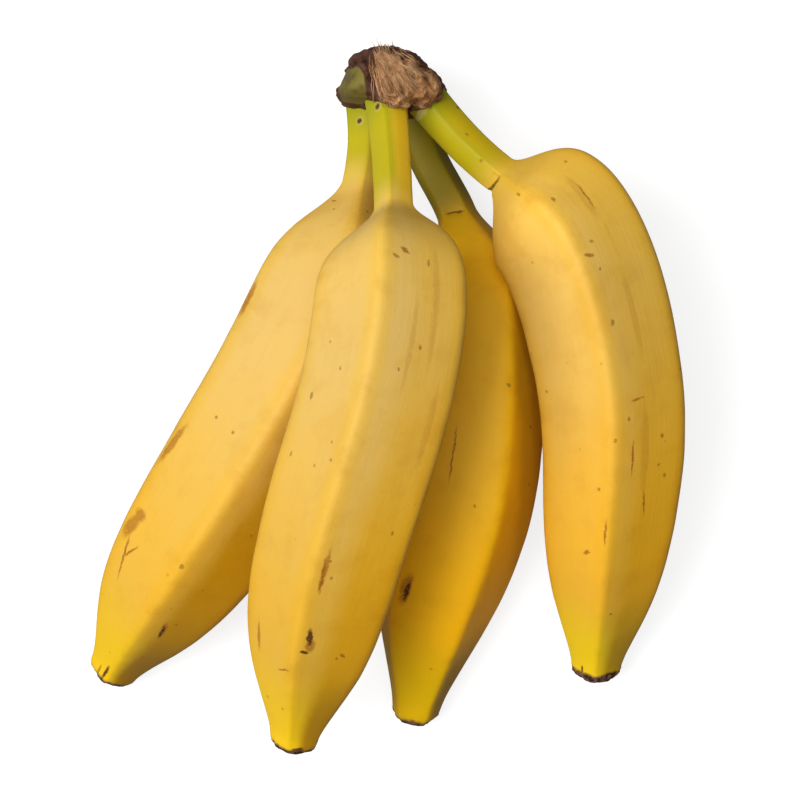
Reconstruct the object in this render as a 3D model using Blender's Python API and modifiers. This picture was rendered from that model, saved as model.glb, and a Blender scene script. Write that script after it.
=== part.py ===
"""Bunch of four short, thick bananas, lying on its inner side with the backs of the fruit upward.

The origin is under the middle of the bunch, on the surface it rests on. +Y points to the crown, +Z is up.
Each banana is one solid from its stalk to its blossom end. The crown is the fifth solid, and it has a
socket for each stalk. Every banana is a loft of five-sided sections along its own curved path.
"""
import math

import bmesh
import bpy
import numpy as np
from mathutils import Matrix, Vector
from mathutils.bvhtree import BVHTree

# Driving dimensions, in metres
FRUIT_WIDTH = 0.0350      # widest banana, across its body
FRUIT_LENGTH = 0.118      # distance down the bunch that a typical body covers, from its neck to its tip
STALK_LENGTH = 0.026      # from the crown to the neck of a banana
STALK_WIDTH = 0.0090
STALK_FLARE = 0.0010      # how much wider a stalk is where it leaves the crown
TIP_WIDTH = 0.0118        # the narrow end that carries the dried blossom
TIP_ROUNDING = 0.0050
CROWN_LENGTH = 0.0135     # from the stalks to the top of the cut face
CROWN_RIM = 0.0065        # flesh of the crown below the lowest stalk and above the highest
CROWN_ROUNDING = 0.0022
SOCKET_DEPTH = 0.0020
JOIN_GAP = 0.0003         # clearance between pieces that have grown together
REST_GAP = 0.0005         # clearance between bananas that lie against each other

# Form of every banana
SIDES = 5
RIDGE_SHARPNESS = 16.0    # low is round, high is a five-sided bar
SHOULDER_POWER = 1.8      # how suddenly the neck swells into the shoulder
TAPER_POWER = 1.4         # how suddenly the belly narrows into the tip
TIP_SHARE = 0.03          # last share of the body, where the tip keeps its width
TIP_CLOSING = 0.85        # how far the rounding closes the tip, from 0 to 1
TIP_POWER = 2.6

# Sizes that the paths and the crown's outline below are written for, in millimetres
PATH_WIDTH = 35.0
PATH_LENGTH = 118.0
PATH_STALK = 26.0
PATH_STALK_WIDTH = 9.0
OUTLINE_LENGTH = 13.5

# Fineness of the lofts
RINGS = 42
RING_POINTS = 30
CURVE_STEPS = 400
CROWN_SEGMENTS = 3
FLAT_ANGLE = 10           # degrees between two faces of the crown that still count as one
END_CROWDING = 0.45       # share of the rings' spacing that draws them together at both ends

# Each path runs from the stalk's root to the tip: across, down from the crown, height (millimetres)
BACK_PATH = [(3.5, 0, 14.5), (7, 13, 16), (13.5, 26, 18), (16, 47, 22),
             (16, 71, 26), (14, 95, 24), (8.5, 119, 18), (3.5, 149, 9)]
LEFT_PATH = [(-8, 0, 18.5), (-8.5, 11, 21.5), (-10.5, 20, 25.5), (-17, 45, 34),
             (-29.5, 71, 36), (-43.5, 94, 31), (-59.5, 118, 20.5), (-72.5, 138, 7)]
FRONT_PATH = [(-3, 0, 37), (-1.8, 12, 44), (-1, 27, 55), (-1, 48, 66),
              (-5.5, 74, 68), (-12.5, 97, 62), (-19, 121, 50), (-25, 153, 34)]
RIGHT_PATH = [(6.5, 0, 31.5), (14, 8.5, 34), (24.5, 18, 37), (36, 27, 39),
              (46, 47, 40), (51, 72, 37), (50.5, 103, 27), (48.5, 138, 8)]

# girth is the share of FRUIT_WIDTH, shoulder and taper are the shares of the body that the two ends take,
# slim is how much thinner the lower belly is, roll turns the upper ridge toward +X (degrees).
# Each banana after the first is pushed toward those it lies against.
SIDEWAYS = (1.0, 0.0, 0.0)
DOWN = (0.0, 0.0, -1.0)
DOWN_AND_IN = (-0.8, 0.0, -0.6)
BANANAS = {
    "banana_back": dict(path=BACK_PATH, girth=1.02, shoulder=0.10, taper=0.20, slim=0.02, roll=31,
                        against=[], push=DOWN),
    "banana_left": dict(path=LEFT_PATH, girth=1.02, shoulder=0.11, taper=0.16, slim=0.02, roll=4,
                        against=["banana_back"], push=SIDEWAYS),
    "banana_front": dict(path=FRONT_PATH, girth=0.96, shoulder=0.08, taper=0.15, slim=0.03, roll=-11,
                         against=["banana_back", "banana_left"], push=DOWN),
    "banana_right": dict(path=RIGHT_PATH, girth=0.96, shoulder=0.055, taper=0.18, slim=0.08, roll=-4,
                         against=["banana_back"], push=DOWN_AND_IN),
}
PUSHES = 4
NECK = 2                  # the point of each path where the stalk ends
RAY_START = 1.0           # metres, outside the whole bunch
SOCKET_REACH = 0.6        # share of the stalk that its cutter follows
# Shares of a banana's length, and how five-sided it is there
RIDGE_PLACES = [0.0, 0.12, 0.28, 0.85, 0.96, 1.0]
RIDGE_STRENGTHS = [0.55, 0.6, 1.0, 1.0, 0.7, 0.3]

# The crown's outline seen from above, round the middle of the stalk roots: across, up (millimetres)
CROWN_OUTLINE = [(-13.5, -1), (-13, 5), (-9.5, 10.5), (-3, 12.5), (4, 10.5),
                 (10.5, 4.5), (10, 0), (3, -3), (-6, -2.5)]
# From the lowest level of the crown to the highest: share of its depth, share of the outline
CROWN_LEVELS = [(0.0, 0.45), (0.14, 0.85), (0.40, 1.0), (0.68, 1.05), (0.90, 0.85), (1.0, 0.45)]

PEEL = (0.86, 0.58, 0.12, 1.0)
CORK = (0.36, 0.22, 0.11, 1.0)


def clear_scene():
    for thing in list(bpy.data.objects):
        bpy.data.objects.remove(thing, do_unlink=True)


def collection(name, helper=False):
    made = bpy.data.collections.new(name)
    bpy.context.scene.collection.children.link(made)
    made.hide_render = helper
    return made


def material(name, colour, roughness):
    made = bpy.data.materials.new(name)
    made.use_nodes = True
    shader = made.node_tree.nodes["Principled BSDF"]
    shader.inputs["Base Color"].default_value = colour
    shader.inputs["Roughness"].default_value = roughness
    shader.inputs["Metallic"].default_value = 0.0
    made.diffuse_color = colour
    return made


def natural_spline(knots, values, at):
    """Smooth curve through the values, with no bend at its two ends."""
    count = len(knots)
    step = np.diff(knots)
    system = np.eye(count)
    bend = np.zeros_like(values)
    for i in range(1, count - 1):
        system[i, i - 1:i + 2] = step[i - 1], 2 * (step[i - 1] + step[i]), step[i]
        bend[i] = 6 * ((values[i + 1] - values[i]) / step[i] - (values[i] - values[i - 1]) / step[i - 1])
    curve = np.linalg.solve(system, bend)
    i = np.clip(np.searchsorted(knots, at, side="right") - 1, 0, count - 2)
    width = step[i][:, None]
    left = (at - knots[i])[:, None]
    right = width - left
    arcs = (curve[i] * right ** 3 + curve[i + 1] * left ** 3) / (6 * width)
    chords = (values[i] / width - curve[i] * width / 6) * right
    return arcs + chords + (values[i + 1] / width - curve[i + 1] * width / 6) * left


def scaled_path(path):
    """The path in metres, with the stalk and the body each at its own length and spacing."""
    points = np.array(path, float)
    along = points[:, 1]
    on_body = np.clip(along / PATH_STALK, 0, 1)
    root_spacing = STALK_WIDTH / PATH_STALK_WIDTH
    body_spacing = FRUIT_WIDTH / PATH_WIDTH
    spacing = root_spacing + (body_spacing - root_spacing) * on_body
    stalk = np.minimum(along, PATH_STALK) * STALK_LENGTH / PATH_STALK
    body = np.maximum(along - PATH_STALK, 0) * FRUIT_LENGTH / PATH_LENGTH
    return np.stack([points[:, 0] * spacing, -stalk - body, points[:, 2] * spacing], axis=1)


def along_curve(points, count):
    """Points on the smooth path, drawn together toward both ends, their distances, and the neck's distance."""
    chord = np.concatenate([[0.0], np.cumsum(np.linalg.norm(np.diff(points, axis=0), axis=1))])
    fine = natural_spline(chord, points, np.linspace(0, chord[-1], CURVE_STEPS))
    run = np.concatenate([[0.0], np.cumsum(np.linalg.norm(np.diff(fine, axis=0), axis=1))])
    even = np.linspace(0, 1, count)
    eased = (1 - np.cos(math.pi * even)) / 2
    at = run[-1] * (even + (eased - even) * END_CROWDING)
    neck = run[np.argmin(np.linalg.norm(fine - points[NECK], axis=1))]
    return np.stack([np.interp(at, run, fine[:, k]) for k in range(3)], axis=1), at, neck


def radii(shape, at, neck):
    """Mean radius at each distance: stalk, neck, shoulder, belly, bottle neck and rounded tip."""
    stalk, tip = STALK_WIDTH / 2, TIP_WIDTH / 2
    body = np.clip((at - neck) / (at[-1] - neck), 0, 1)
    belly = FRUIT_WIDTH / 2 * shape["girth"] * (1 - shape["slim"] * body)
    rise = 1 - np.exp(-(body / shape["shoulder"]) ** SHOULDER_POWER)
    before_tip = np.clip(1 - TIP_SHARE - body, 0, 1)
    fall = 1 - np.exp(-(before_tip / shape["taper"]) ** TAPER_POWER)
    flare = STALK_FLARE / 2 * np.exp(-at / STALK_WIDTH)
    swollen = stalk + flare + (belly - stalk) * rise
    closing = 1 - np.clip((at[-1] - at) / TIP_ROUNDING, 0, 1)
    return (tip + (swollen - tip) * fall) * np.sqrt(1 - TIP_CLOSING * closing ** TIP_POWER)


def five_sided(angles, roll):
    """Radius of a rounded pentagon round the section, with a mean of one and a ridge at the roll."""
    faces = math.radians(roll) + 2 * math.pi * (np.arange(SIDES) + 0.5) / SIDES
    toward = np.maximum(np.cos(angles[:, None] - faces), 0) ** RIDGE_SHARPNESS
    outline = toward.sum(axis=1) ** (-1 / RIDGE_SHARPNESS)
    return outline / outline.mean()


def sections(shape, shift):
    """Centres and rings of one banana, from the root to the tip, its body moved by the shift."""
    path = scaled_path(shape["path"])
    reach = np.clip(-path[:, 1] / STALK_LENGTH, 0, 1)
    path = path + reach[:, None] * shift
    root_way = (path[1] - path[0]) / np.linalg.norm(path[1] - path[0])
    path[0] -= root_way * SOCKET_DEPTH
    centres, at, neck = along_curve(path, RINGS)
    way = np.gradient(centres, axis=0)
    way /= np.linalg.norm(way, axis=1)[:, None]
    side = np.cross(way, [0.0, 0.0, 1.0])
    side /= np.linalg.norm(side, axis=1)[:, None]
    up = np.cross(side, way)
    angles = np.linspace(0, 2 * math.pi, RING_POINTS, endpoint=False)
    ridged = five_sided(angles, -shape["roll"])
    edge = np.interp(at / at[-1], RIDGE_PLACES, RIDGE_STRENGTHS)
    radius = radii(shape, at, neck)[:, None] * (1 + (ridged - 1) * edge[:, None])
    across = (radius * np.sin(angles))[..., None] * side[:, None]
    above = (radius * np.cos(angles))[..., None] * up[:, None]
    return centres, centres[:, None] + across + above


def skin_tree(rings):
    """Search tree of the skin between the rings."""
    count = rings.shape[1]
    faces = []
    for row in range(len(rings) - 1):
        for k in range(count):
            near, after = row * count + k, row * count + (k + 1) % count
            faces.append((near, after, after + count, near + count))
    return BVHTree.FromPolygons([Vector(point) for point in rings.reshape(-1, 3)], faces)


def room(mover, fixed, way):
    """Least distance that one banana can travel before it meets another, negative where they overlap."""
    way = Vector(way)
    mover_tree, fixed_tree = skin_tree(mover), skin_tree(fixed)
    found = []
    for point in mover.reshape(-1, 3):
        hit = fixed_tree.ray_cast(Vector(point) - way * RAY_START, way)[0]
        if hit:
            found.append((hit - Vector(point)).dot(way))
    for point in fixed.reshape(-1, 3):
        hit = mover_tree.ray_cast(Vector(point) + way * RAY_START, -way)[0]
        if hit:
            found.append((Vector(point) - hit).dot(way))
    return min(found)


def settled():
    """Centres and rings of every banana, each one pushed against its neighbours until they nearly touch."""
    placed = {}
    for name, shape in BANANAS.items():
        shift = np.zeros(3)
        for _ in range(PUSHES if shape["against"] else 0):
            rings = sections(shape, shift)[1]
            travel = min(room(rings, placed[other][1], shape["push"]) for other in shape["against"])
            shift = shift + np.array(shape["push"]) * (travel - REST_GAP)
        placed[name] = sections(shape, shift)
    return placed


def loft(name, rings, home, look=None):
    """Closed body through the rings, with a flat face on the first and the last."""
    shell = bmesh.new()
    rows = [[shell.verts.new(point) for point in ring] for ring in rings]
    for low, high in zip(rows, rows[1:]):
        for k in range(len(low)):
            after = (k + 1) % len(low)
            shell.faces.new((low[k], low[after], high[after], high[k]))
    shell.faces.new(reversed(rows[0]))
    shell.faces.new(rows[-1])
    bmesh.ops.recalc_face_normals(shell, faces=shell.faces)
    for face in shell.faces:
        face.smooth = True
    mesh = bpy.data.meshes.new(name)
    shell.to_mesh(mesh)
    shell.free()
    made = bpy.data.objects.new(name, mesh)
    home.objects.link(made)
    if look:
        mesh.materials.append(look)
    return made


def crown(placed, home, helpers, look):
    """Lump of stem that the stalks grow from: levels of its outline, rounded, with a socket for each stalk."""
    roots = np.array([scaled_path(shape["path"])[0] for shape in BANANAS.values()])
    middle = (roots.min(axis=0) + roots.max(axis=0)) / 2
    low = roots[:, 2].min() - STALK_WIDTH / 2 - CROWN_RIM
    high = roots[:, 2].max() + STALK_WIDTH / 2 + CROWN_RIM
    across = STALK_WIDTH / PATH_STALK_WIDTH
    up = CROWN_LENGTH / OUTLINE_LENGTH
    outline = np.array(CROWN_OUTLINE) * (across, up)
    rings = []
    for depth, size in CROWN_LEVELS:
        ring = np.empty((len(outline), 3))
        ring[:, :2] = middle[:2] + outline.mean(axis=0) + (outline - outline.mean(axis=0)) * size
        ring[:, 2] = low + (high - low) * depth
        rings.append(ring)
    made = loft("crown", rings, home, look)
    rounding = made.modifiers.new("rounding", "BEVEL")
    rounding.width = CROWN_ROUNDING
    rounding.segments = CROWN_SEGMENTS
    rounding.limit_method = "ANGLE"
    rounding.angle_limit = math.radians(FLAT_ANGLE)
    for name, (centres, rings) in placed.items():
        cut_socket(made, name, centres, rings, helpers)
    return made


def cut_socket(body, name, centres, rings, helpers):
    """Takes the root of one stalk out of the crown, with the clearance all round it."""
    near = int(np.sum(np.linalg.norm(centres - centres[0], axis=1) < STALK_LENGTH * SOCKET_REACH))
    outward = rings[:near] - centres[:near, None]
    outward *= 1 + JOIN_GAP / np.linalg.norm(outward, axis=2, keepdims=True)
    grown = centres[:near, None] + outward
    way = centres[1] - centres[0]
    grown[0] -= way / np.linalg.norm(way) * JOIN_GAP
    cutter = loft("socket_of_" + name, grown, helpers)
    cutter.display_type = "WIRE"
    cutter.hide_render = True
    cut = body.modifiers.new(cutter.name, "BOOLEAN")
    cut.operation = "DIFFERENCE"
    cut.solver = "EXACT"
    cut.object = cutter


def stand_on_origin(things, helpers):
    """Moves every object so that the origin lies under the middle of the bunch."""
    bpy.context.view_layer.update()
    graph = bpy.context.evaluated_depsgraph_get()
    corners = np.array([corner for thing in things for corner in thing.evaluated_get(graph).bound_box])
    low, high = corners.min(axis=0), corners.max(axis=0)
    home = Vector(((low[0] + high[0]) / 2, (low[1] + high[1]) / 2, low[2]))
    for thing in things + helpers:
        thing.data.transform(Matrix.Translation(-home))


def main():
    clear_scene()
    bunch = collection("bunch_of_bananas")
    cutters = collection("cutters", helper=True)
    placed = settled()
    peel = material("peel", PEEL, roughness=0.42)
    cork = material("cut_stem", CORK, roughness=0.85)
    things = [loft(name, rings, bunch, peel) for name, (_, rings) in placed.items()]
    things.append(crown(placed, bunch, cutters, cork))
    stand_on_origin(things, list(cutters.objects))


main()
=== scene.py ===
import math
from itertools import product

import bpy
import numpy as np
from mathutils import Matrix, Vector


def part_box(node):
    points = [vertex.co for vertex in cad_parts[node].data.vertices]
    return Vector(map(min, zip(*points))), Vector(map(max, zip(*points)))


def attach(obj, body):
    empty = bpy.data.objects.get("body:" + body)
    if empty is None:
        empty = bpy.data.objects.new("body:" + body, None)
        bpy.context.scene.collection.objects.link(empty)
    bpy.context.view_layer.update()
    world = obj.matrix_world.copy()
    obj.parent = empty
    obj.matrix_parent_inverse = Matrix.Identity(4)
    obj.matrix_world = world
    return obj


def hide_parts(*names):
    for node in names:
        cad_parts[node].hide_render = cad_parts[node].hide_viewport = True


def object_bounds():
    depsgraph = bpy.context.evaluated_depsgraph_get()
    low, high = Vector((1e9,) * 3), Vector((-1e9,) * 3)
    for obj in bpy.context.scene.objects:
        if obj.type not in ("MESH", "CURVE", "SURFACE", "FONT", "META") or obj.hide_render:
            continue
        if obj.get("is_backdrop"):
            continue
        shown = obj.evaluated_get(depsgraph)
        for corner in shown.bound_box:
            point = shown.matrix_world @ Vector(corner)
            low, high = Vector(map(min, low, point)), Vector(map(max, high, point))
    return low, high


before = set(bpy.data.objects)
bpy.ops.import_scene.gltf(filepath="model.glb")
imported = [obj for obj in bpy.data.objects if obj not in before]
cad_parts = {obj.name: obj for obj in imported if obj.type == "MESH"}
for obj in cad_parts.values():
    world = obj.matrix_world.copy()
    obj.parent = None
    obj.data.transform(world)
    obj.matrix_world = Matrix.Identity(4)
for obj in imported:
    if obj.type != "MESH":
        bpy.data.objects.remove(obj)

# Bunch of four short, thick bananas on one crown, lying with their backs up on a pale table.
# Each fruit is a five-sided skin carried along a curved path, in the same form as its solid in the frame.
# The crown is a torn, corky lump with loose fibres. Lengths are in metres unless a name ends in _MM.

bl_info = {
    "name": "Banana bunch",
    "version": (1, 0, 0),
    "blender": (4, 5, 0),
    "location": "View3D > Sidebar > Bananas",
    "description": "Builds a bunch of bananas with its crown, peel and studio",
    "category": "Object",
}

BODY = "root"
PEEL_SLOT = "peel"
STEM_SLOT = "cut_stem"
MM = 0.001

# Form shared by the fruit
FRUIT_WIDTH = 0.0350
STALK_LENGTH = 0.026
STALK_WIDTH = 0.0090
STALK_FLARE = 0.0010
TIP_WIDTH = 0.0118
TIP_ROUNDING = 0.0050
SOCKET_DEPTH = 0.0020
SIDES = 5
RIDGE_SHARPNESS = 16.0
SHOULDER_POWER = 1.8
TAPER_POWER = 1.4
TIP_SHARE = 0.03
TIP_CLOSING = 0.85
TIP_POWER = 2.6
NECK = 2                    # point of each path where the stalk ends
RIDGE_PLACES = [0.0, 0.12, 0.28, 0.85, 0.96, 1.0]
RIDGE_STRENGTHS = [0.55, 0.6, 1.0, 1.0, 0.7, 0.3]

ROWS = 236                  # sections along a fruit
CAP_ROWS = 14               # rings on its blossom end
COLUMNS = 300               # points round a section
CURVE_STEPS = 800
END_CROWDING = 0.45

# Path of each fruit from the root of its stalk to its tip: across, down the bunch, height
BACK_PATH_MM = [(3.5, 0, 14.5), (7, 13, 16), (13.5, 26, 18), (16, 47, 22),
                (16, 71, 26), (14, 95, 24), (8.5, 119, 18), (3.5, 149, 9)]
LEFT_PATH_MM = [(-8, 0, 18.5), (-8.5, 11, 21.5), (-10.5, 20, 25.5), (-17, 45, 34),
                (-29.5, 71, 36), (-43.5, 94, 31), (-59.5, 118, 20.5), (-72.5, 138, 7)]
FRONT_PATH_MM = [(-3, 0, 37), (-1.8, 12, 44), (-1, 27, 55), (-1, 48, 66),
                 (-5.5, 74, 68), (-12.5, 97, 62), (-19, 121, 50), (-25, 153, 34)]
RIGHT_PATH_MM = [(6.5, 0, 31.5), (14, 8.5, 34), (24.5, 18, 37), (36, 27, 39),
                 (46, 47, 40), (51, 72, 37), (50.5, 103, 27), (48.5, 138, 8)]

# Marks on the peel: kind, distance along the fruit, arc from its top line (positive toward +X),
# half its length along the fruit, half its width, and its lean in degrees
# The creases are dark lines of painted shade in the folds at the neck
BACK_MARKS_MM = [
    ("bruise", 120.5, -9.0, 4.2, 1.5, 10), ("scab", 121.0, -8.6, 2.6, 0.7, 12),
    ("crease", 31.0, -1.0, 0.35, 9.0, 3), ("dot", 74.0, 9.0, 0.5, 0.4, 0),
    ("dot", 98.0, 4.0, 0.4, 0.4, 0), ("scratch", 88.0, -3.0, 6.0, 0.3, 4),
]
LEFT_MARKS_MM = [
    ("bruise", 122.0, -17.8, 4.0, 1.6, 14), ("bruise", 118.5, -17.0, 1.6, 1.8, 0),
    ("scratch", 129.5, -15.8, 5.5, 0.4, -12), ("scratch", 127.0, -14.5, 3.0, 0.3, 30),
    ("dot", 120.0, 1.1, 0.6, 0.5, 0), ("scab", 138.7, 7.9, 2.3, 0.7, -16),
    ("bruise", 138.0, 8.0, 3.0, 1.1, -16), ("dot", 135.2, 10.6, 0.4, 0.4, 0),
    ("scab", 160.0, -2.4, 2.7, 1.3, 4), ("bruise", 161.5, -8.2, 2.0, 1.3, 0),
    ("bruise", 163.0, 3.5, 0.9, 2.2, 0), ("ring", 7.6, -7.0, 1.25, 3.9, 0),
    ("hole", 7.6, -7.2, 0.9, 2.9, 0), ("scratch", 31.0, -14.0, 0.3, 1.8, 10),
    ("bruise", 62.0, -20.0, 5.0, 0.8, 0), ("bruise", 100.0, -19.0, 6.0, 0.9, 8),
]
FRONT_MARKS_MM = [
    ("scab", 133.8, -0.4, 2.5, 0.75, -8), ("bruise", 136.3, 0.2, 2.0, 1.4, 0),
    ("scab", 138.3, -1.1, 0.5, 1.1, 12), ("scratch", 118.0, -0.7, 4.0, 0.35, -4),
    ("bruise", 116.5, -0.6, 5.0, 0.7, 0), ("bruise", 142.0, -19.2, 4.0, 0.7, 0),
    ("dot", 140.4, 8.8, 0.5, 0.4, 0), ("scratch", 139.5, 10.5, 0.4, 1.3, 30),
    ("dot", 106.3, 13.9, 0.5, 0.5, 0), ("dot", 76.6, -11.7, 0.5, 0.4, 0),
    ("dot", 84.0, -19.8, 0.9, 0.5, 0), ("dot", 98.0, -20.9, 0.7, 0.4, 0),
    ("scratch", 53.2, 2.2, 0.5, 1.4, 24), ("dot", 54.8, 0.0, 0.5, 0.9, 20),
    ("dot", 54.8, 8.8, 0.7, 0.4, 0), ("dot", 70.1, 8.1, 0.5, 0.4, 0), ("dot", 74.7, 3.3, 0.4, 0.4, 0),
    ("smear", 62.0, 11.0, 12.0, 1.0, 0), ("smear", 70.0, 5.5, 9.0, 0.8, 2),
    ("smear", 84.0, 14.5, 8.0, 0.9, 0), ("scratch", 145.7, -6.6, 0.3, 2.6, -24),
    ("scab", 171.0, 4.0, 0.9, 5.0, 0), ("ring", 6.9, -9.0, 1.25, 3.9, 0),
    ("hole", 6.9, -9.3, 0.9, 2.9, 0),
]
RIGHT_MARKS_MM = [
    ("crease", 28.2, -16.0, 0.45, 14.0, 2), ("scratch", 45.5, 9.9, 2.8, 0.25, 6),
    ("smear", 45.0, 9.2, 5.0, 1.4, 6), ("dot", 35.5, -2.9, 0.5, 0.5, 0), ("dot", 42.4, 1.8, 0.6, 0.5, 0),
    ("dot", 53.6, 3.7, 0.4, 0.6, 0), ("scratch", 56.1, 1.8, 0.5, 1.2, 20),
    ("dot", 70.6, 2.2, 0.7, 0.5, 0), ("dot", 94.9, -0.7, 0.6, 0.4, 0), ("dot", 90.6, 2.9, 0.5, 0.4, 0),
    ("dot", 95.7, 13.6, 0.6, 0.5, 0), ("dot", 101.7, 12.8, 0.5, 0.5, 0),
    ("dot", 104.3, 15.0, 0.6, 0.5, 0), ("scratch", 122.1, -7.0, 0.6, 1.3, -20),
    ("scratch", 115.8, -1.8, 3.0, 0.35, 0), ("scratch", 99.2, 4.0, 4.0, 0.3, 0),
    ("scratch", 87.0, 6.0, 0.3, 2.2, 0), ("scratch", 110.0, 9.0, 3.2, 0.3, -10),
    ("smear", 70.0, 9.0, 9.0, 1.2, 0), ("smear", 98.0, 8.0, 10.0, 1.4, 0),
    ("scab", 158.2, -12.0, 1.2, 1.0, 30), ("dot", 9.0, 18.7, 0.5, 1.4, 0),
    ("dot", 5.4, -2.2, 0.6, 1.5, 0), ("dot", 16.0, 6.0, 0.4, 1.2, 0), ("pale", 4.6, -13.0, 1.0, 12.0, 0),
]

# What differs between the fruit:
#   settle_mm    how far its body leans on its neighbours
#   girth, shoulder, taper, slim    its thickness, the shares of its body that swell and that narrow, and how
#                much thinner the far end of its belly is
#   roll         degrees by which its upper ridge turns toward +X
#   crease_mm    a fold at its neck: distance along, arc of its middle, half its arc, slope, depth
#   scar_mm      how far its dried blossom end comes up its side
#   tint         of all its peel, on the back fruit painted light that brightens it and takes out its blue
#   side_shade   arc in mm past which its peel gets painted shade, darker and deeper yellow, how much so, its tint
#   stalk_tint_and_shade, tip_tint_and_shade    tints of its stalk and of its tip, on the back fruit painted shade
#   sunny_stalk  how ripe one side of its stalk is
FRUIT = {
    "banana_back": dict(
        path=BACK_PATH_MM, settle_mm=(0, 0, 0), girth=1.02, shoulder=0.10, taper=0.20, slim=0.02, roll=31,
        seed=11, marks=BACK_MARKS_MM, crease_mm=(31.0, -1.0, 9.0, 0.05, 0.5), scar_mm=2.5,
        tint=(1.22, 1.13, 0.12), side_shade=(9.0, 0.3, (0.8, 0.66, 0.1)),
        stalk_tint_and_shade=(0.34, 0.34, 0.2), tip_tint_and_shade=(0.62, 0.68, 0.5), sunny_stalk=0.0),
    "banana_left": dict(
        path=LEFT_PATH_MM, settle_mm=(1.88, 0, 0), girth=1.02, shoulder=0.11, taper=0.16, slim=0.02, roll=4,
        seed=23, marks=LEFT_MARKS_MM, crease_mm=None, scar_mm=2.2,
        tint=(0.97, 0.99, 1.0), side_shade=(3.0, 1.0, (0.70, 0.60, 0.02)),
        stalk_tint_and_shade=(1.0, 1.0, 0.9), tip_tint_and_shade=(0.97, 0.97, 1.0), sunny_stalk=0.12),
    "banana_front": dict(
        path=FRONT_PATH_MM, settle_mm=(0, 0, -0.15), girth=0.96, shoulder=0.08, taper=0.15, slim=0.03,
        roll=-11, seed=37, marks=FRONT_MARKS_MM, crease_mm=None, scar_mm=2.6,
        tint=(0.98, 1.0, 1.0), side_shade=(2.0, 0.9, (0.91, 0.77, 0.06)),
        stalk_tint_and_shade=(1.0, 1.0, 0.9), tip_tint_and_shade=(1.0, 1.0, 1.0), sunny_stalk=0.8),
    "banana_right": dict(
        path=RIGHT_PATH_MM, settle_mm=(-0.88, 0, -0.66), girth=0.96, shoulder=0.055, taper=0.18, slim=0.08,
        roll=-4, seed=53, marks=RIGHT_MARKS_MM, crease_mm=(28.2, -16.0, 14.0, -0.035, 0.6), scar_mm=4.0,
        tint=(1.02, 1.0, 0.80), side_shade=(2.0, 0.8, (0.92, 0.81, 0.06)),
        stalk_tint_and_shade=(0.80, 0.84, 0.5), tip_tint_and_shade=(0.93, 1.06, 1.0), sunny_stalk=0.35),
}

# Relief of the peel: how far each set of lumps stands out, and the size of its lumps
PEEL_LUMPS = [(0.00022, 0.021), (0.00007, 0.006)]
SCAR_LUMPS = [(0.00045, 0.0011), (0.0003, 0.0024)]
SCAR_RIM_LUMPS = [(0.0008, 0.0034)]
SCAR_END_LUMPS = [(0.0005, 0.0014)]
CREASE_LUMPS_MM = [(0.5, 0.003)]
RELIEF_STARTS = (0.004, 0.03)       # along the stalk, which is smooth at its root
SCAR_RIM = (-0.0005, 0.0004)        # softness of the edge of the dried end
CREASE_WIDTH_MM = 0.5
CREASE_FADE_MM = 3.0
CAP_ROUNDNESS = 0.8
CAP_LENGTH = 0.003                  # of the skin map over the blossom end

# Outline of the crown seen from above, round the middle of the stalk roots: across, up the bunch
CROWN_OUTLINE_MM = [(-13.5, 0.3), (-13, 5), (-9.5, 10.5), (-3, 12.5), (4, 10.5),
                    (10.5, 4.5), (10, 0), (3, -3), (-6, -1.4)]
CROWN_ROWS = 240
CROWN_COLUMNS = 320
OUTLINE_STEPS = 400
BARK_RELIEF = 0.0001        # by which the lumps of the crown stand out
CROWN_SQUARENESS = 0.55     # below 1 the lump is boxier than an egg

# Parts of the crown's face, from its middle: across, up the bunch, half width, half height, lean in degrees
SMOOTH_SIDE_MM = (-8.6, -1.9, 3.1, 3.9, 8)
TORN_FACE_MM = (4.4, -1.0, 7.4, 5.4, -16)
DEEP_PARTS_MM = [(-3.6, 2.6, 1.9, 5.4, 24), (7.6, 3.6, 3.9, 1.7, -28),
                 (-4.4, -5.2, 2.6, 1.4, -20), (2.0, 5.8, 3.2, 1.4, -12)]
LOWER_LIP_MM = (2.6, -5.6, 5.4, 1.7, -10)
LIP_PLACE_MM = (0.5, -4.6, 4.6, 3.0, -8)
# Where each part starts to show and where it shows in full, in shares of its half sizes
SMOOTH_SIDE_EDGE = (1.16, 0.92)
TORN_FACE_EDGE = (1.12, 0.90)
DEEP_SHADE_EDGE = (1.25, 0.65)
DEEP_RELIEF_EDGE = (1.2, 0.4)
LOWER_LIP_EDGE = (1.2, 0.6)
LIP_PLACE_EDGE = (1.3, 0.3)
SMOOTH_SIDE_POWER = 4               # makes its outline squarish
# Relief of the crown, in the same form as the peel's
CROWN_LUMPS = [(0.0013, 0.0062), (0.0010, 0.0030)]
CRUMB_LUMPS = [(0.00040, 0.0011)]
GRAIN_LUMPS = [(0.00055, 0.0010)]
SMOOTH_SIDE_LUMPS = [(0.10, 0.0022)]
PIT_LUMPS = [(1.0, 0.0024)]
GRAIN_ACROSS = (0.80, 0.60)         # direction across the tear, seen from above
GRAIN_DRAWN_OUT = (0.20, 0.6)       # sizes of the grain's lattice along the tear and in height
GRAIN_ON_SIDES = 0.3                # share of the grain's relief on the crown's sides
PIT_EDGE = (0.25, 0.65)
PIT_DEPTH = 0.0017
DEEP_PART_DEPTH = 0.0009
SMOOTH_SIDE_DEPTH = 0.0003
LIP_RISE = 0.0030
LIP_FORWARD = 0.0012
CROWN_LOWEST = 0.0001
TOP_RELIEF_BAND = (0.004, 0.012)    # heights above the crown's middle where its torn face begins
TOP_COLOUR_BAND = (0.006, 0.013)
SMOOTH_SIDE_BAND = (0.0, 0.004)
COLOUR_WANDER = 0.0007              # by which the parts' outlines stray
COLOUR_WANDER_SIZE = 0.0021

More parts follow.
